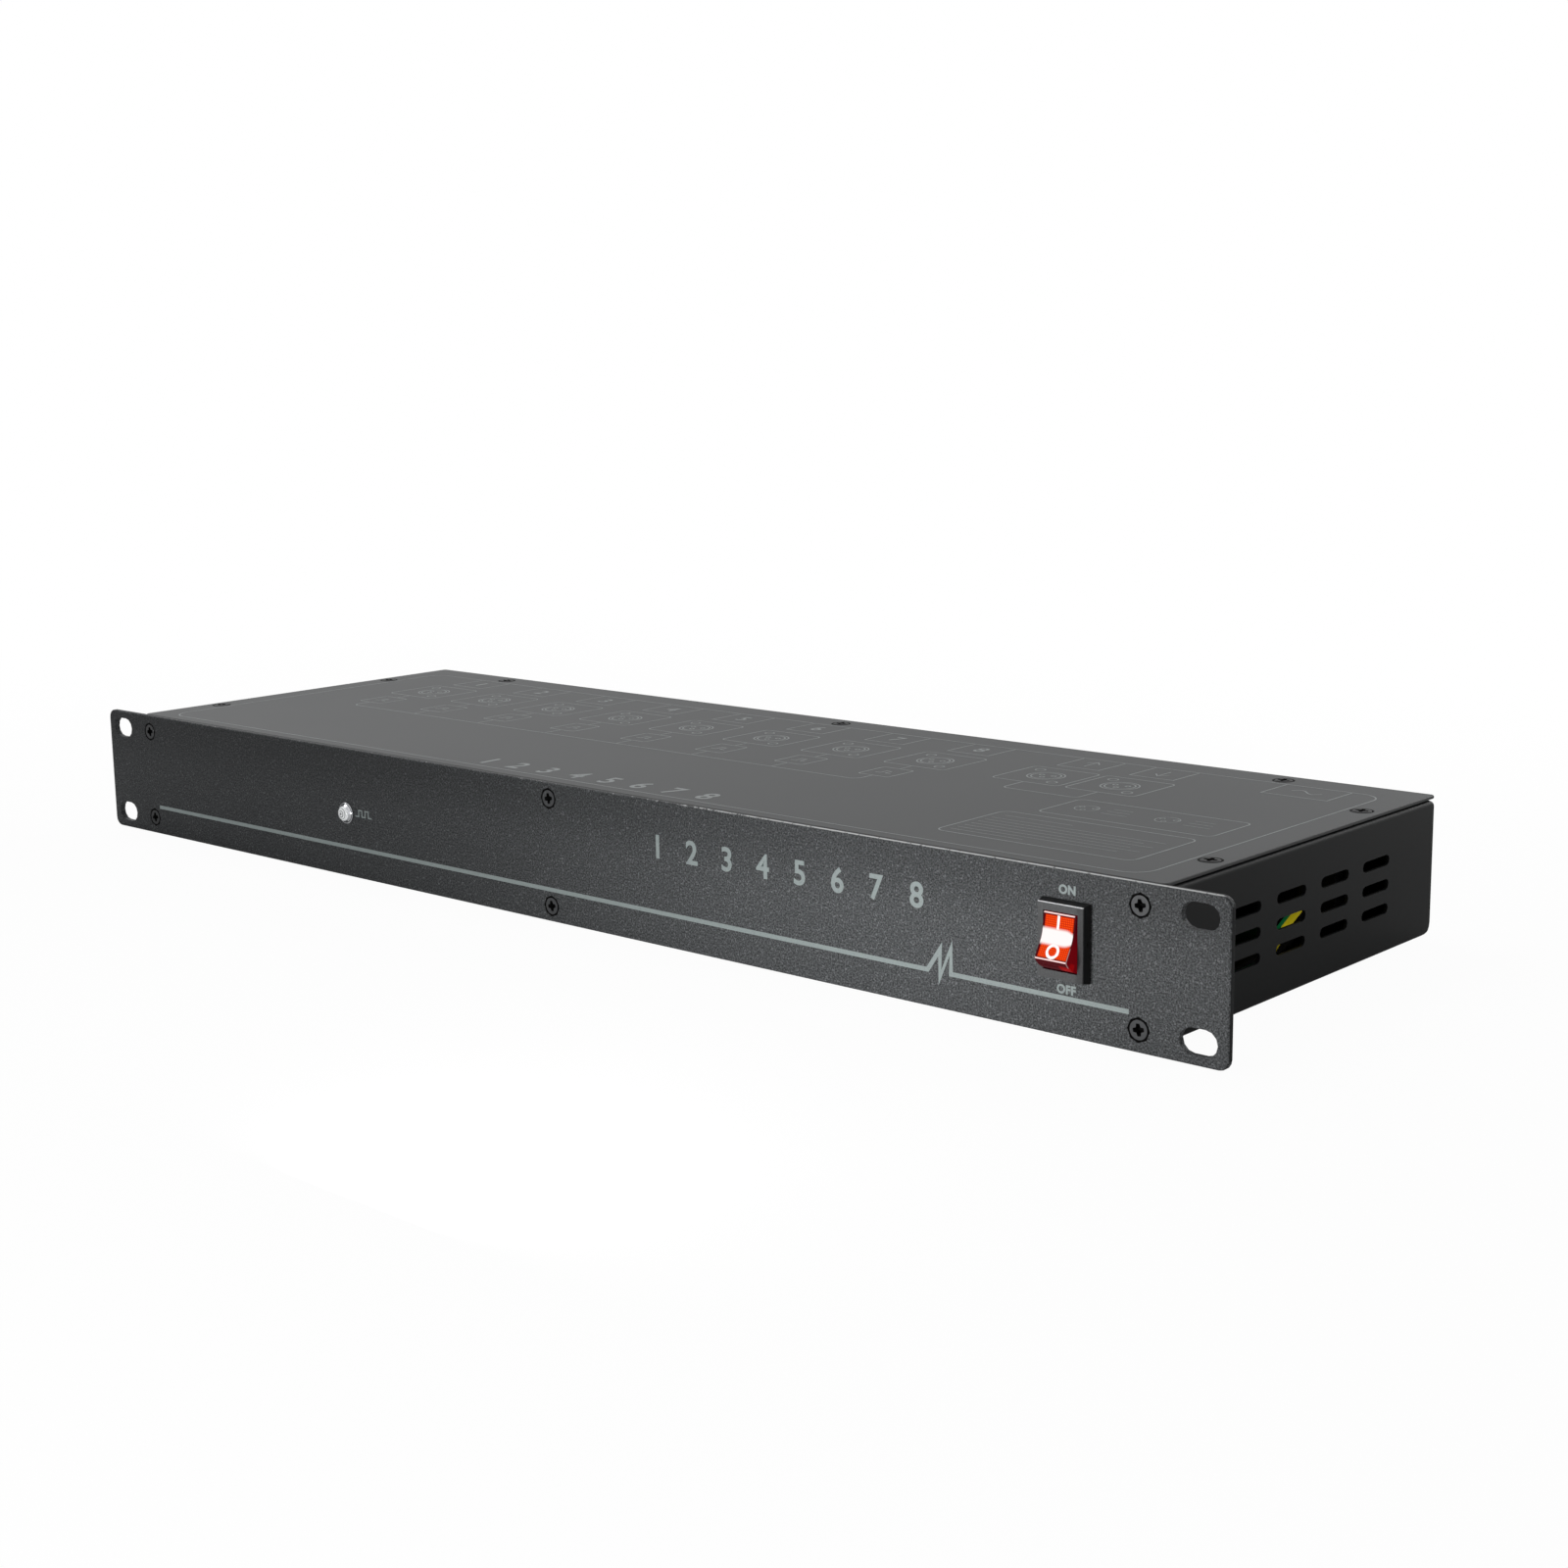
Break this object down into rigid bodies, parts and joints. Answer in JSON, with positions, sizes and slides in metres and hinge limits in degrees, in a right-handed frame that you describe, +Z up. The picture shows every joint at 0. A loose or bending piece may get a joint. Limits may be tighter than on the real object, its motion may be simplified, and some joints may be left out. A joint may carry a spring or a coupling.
{
  "type": "rack-mount dmx splitter",
  "caption": "One-unit rack splitter for lighting control signals: flat steel case, front panel with lit rocker switch and lamp, row of three-pole connectors and mains inlet at the rear.",
  "frame": {"origin": "below the middle of the whole, at the foot of the front panel", "axes": "+X to the right as seen from the front, +Y from the front panel to the rear wall, +Z up"},
  "size_m": [0.4826, 0.1558, 0.0443],
  "materials": {
    "panel_coat": "charcoal fine-textured powder coat",
    "tray_paint": "black satin paint",
    "cover_paint": "mid grey satin paint with a fine line print",
    "screw_steel": "blackened steel",
    "black_plastic": "fine matt moulding",
    "red_lens": "translucent red, lit from inside",
    "chrome": "bright plating",
    "clear_lens": "clear moulded resin",
    "latch_metal": "satin nickel",
    "zinc": "zinc plating",
    "fuse_glass": "glass tube with metal caps",
    "board": "green solder mask",
    "earth_lead": "yellow insulation with a green stripe",
    "lead_black": "black insulation"
  },
  "bodies": {
    "case": {"front_panel": "panel_coat", "panel_screw_1": "screw_steel", "panel_screw_2": "screw_steel", "panel_screw_3": "screw_steel", "panel_screw_4": "screw_steel", "panel_screw_5": "screw_steel", "panel_screw_6": "screw_steel", "chassis_tray": "tray_paint", "top_cover": "cover_paint", "cover_screw_1": "screw_steel", "cover_screw_2": "screw_steel", "cover_screw_3": "screw_steel", "cover_screw_4": "screw_steel", "cover_screw_5": "screw_steel", "cover_screw_6": "screw_steel", "cover_screw_7": "screw_steel", "switch_housing": "black_plastic", "indicator_bezel": "chrome", "indicator_lamp": "clear_lens", "indicator_nut": "zinc", "output_1_shell": "black_plastic", "output_1_insert": "black_plastic", "output_2_shell": "black_plastic", "output_2_insert": "black_plastic", "output_3_shell": "black_plastic", "output_3_insert": "black_plastic", "output_4_shell": "black_plastic", "output_4_insert": "black_plastic", "output_5_shell": "black_plastic", "output_5_insert": "black_plastic", "output_6_shell": "black_plastic", "output_6_insert": "black_plastic", "output_7_shell": "black_plastic", "output_7_insert": "black_plastic", "output_8_shell": "black_plastic", "output_8_insert": "black_plastic", "through_shell": "black_plastic", "through_insert": "black_plastic", "input_shell": "black_plastic", "input_insert": "black_plastic", "power_inlet": "black_plastic", "main_board": "board", "supply_board": "board", "connector_board": "board", "earth_stud": "zinc", "earth_wire": "earth_lead", "mains_lead": "lead_black"},
    "rocker": {"switch_rocker": "red_lens"},
    "output_1_tab": {"output_1_latch": "latch_metal"},
    "output_2_tab": {"output_2_latch": "latch_metal"},
    "output_3_tab": {"output_3_latch": "latch_metal"},
    "output_4_tab": {"output_4_latch": "latch_metal"},
    "output_5_tab": {"output_5_latch": "latch_metal"},
    "output_6_tab": {"output_6_latch": "latch_metal"},
    "output_7_tab": {"output_7_latch": "latch_metal"},
    "output_8_tab": {"output_8_latch": "latch_metal"},
    "through_tab": {"through_latch": "latch_metal"},
    "drawer": {"fuse_drawer": "black_plastic", "fuse": "fuse_glass"}
  },
  "joints": [
    {"name": "rocker_tilt", "type": "hinge", "parent": "case", "child": "rocker", "pos_m": [0.1933, -0.07127, 0.0257], "axis": [1, 0, 0], "range_deg": [0, 39]},
    {"name": "output_1_push", "type": "slide", "parent": "case", "child": "output_1_tab", "axis": [0, -1, 0], "range_m": [0, 0.0015], "stiffness_N_per_m": 150},
    {"name": "output_2_push", "type": "slide", "parent": "case", "child": "output_2_tab", "axis": [0, -1, 0], "range_m": [0, 0.0015], "stiffness_N_per_m": 150},
    {"name": "output_3_push", "type": "slide", "parent": "case", "child": "output_3_tab", "axis": [0, -1, 0], "range_m": [0, 0.0015], "stiffness_N_per_m": 150},
    {"name": "output_4_push", "type": "slide", "parent": "case", "child": "output_4_tab", "axis": [0, -1, 0], "range_m": [0, 0.0015], "stiffness_N_per_m": 150},
    {"name": "output_5_push", "type": "slide", "parent": "case", "child": "output_5_tab", "axis": [0, -1, 0], "range_m": [0, 0.0015], "stiffness_N_per_m": 150},
    {"name": "output_6_push", "type": "slide", "parent": "case", "child": "output_6_tab", "axis": [0, -1, 0], "range_m": [0, 0.0015], "stiffness_N_per_m": 150},
    {"name": "output_7_push", "type": "slide", "parent": "case", "child": "output_7_tab", "axis": [0, -1, 0], "range_m": [0, 0.0015], "stiffness_N_per_m": 150},
    {"name": "output_8_push", "type": "slide", "parent": "case", "child": "output_8_tab", "axis": [0, -1, 0], "range_m": [0, 0.0015], "stiffness_N_per_m": 150},
    {"name": "through_push", "type": "slide", "parent": "case", "child": "through_tab", "axis": [0, -1, 0], "range_m": [0, 0.0015], "stiffness_N_per_m": 150},
    {"name": "drawer_slide", "type": "slide", "parent": "case", "child": "drawer", "axis": [0, 1, 0], "range_m": [0, 0.018]}
  ]
}
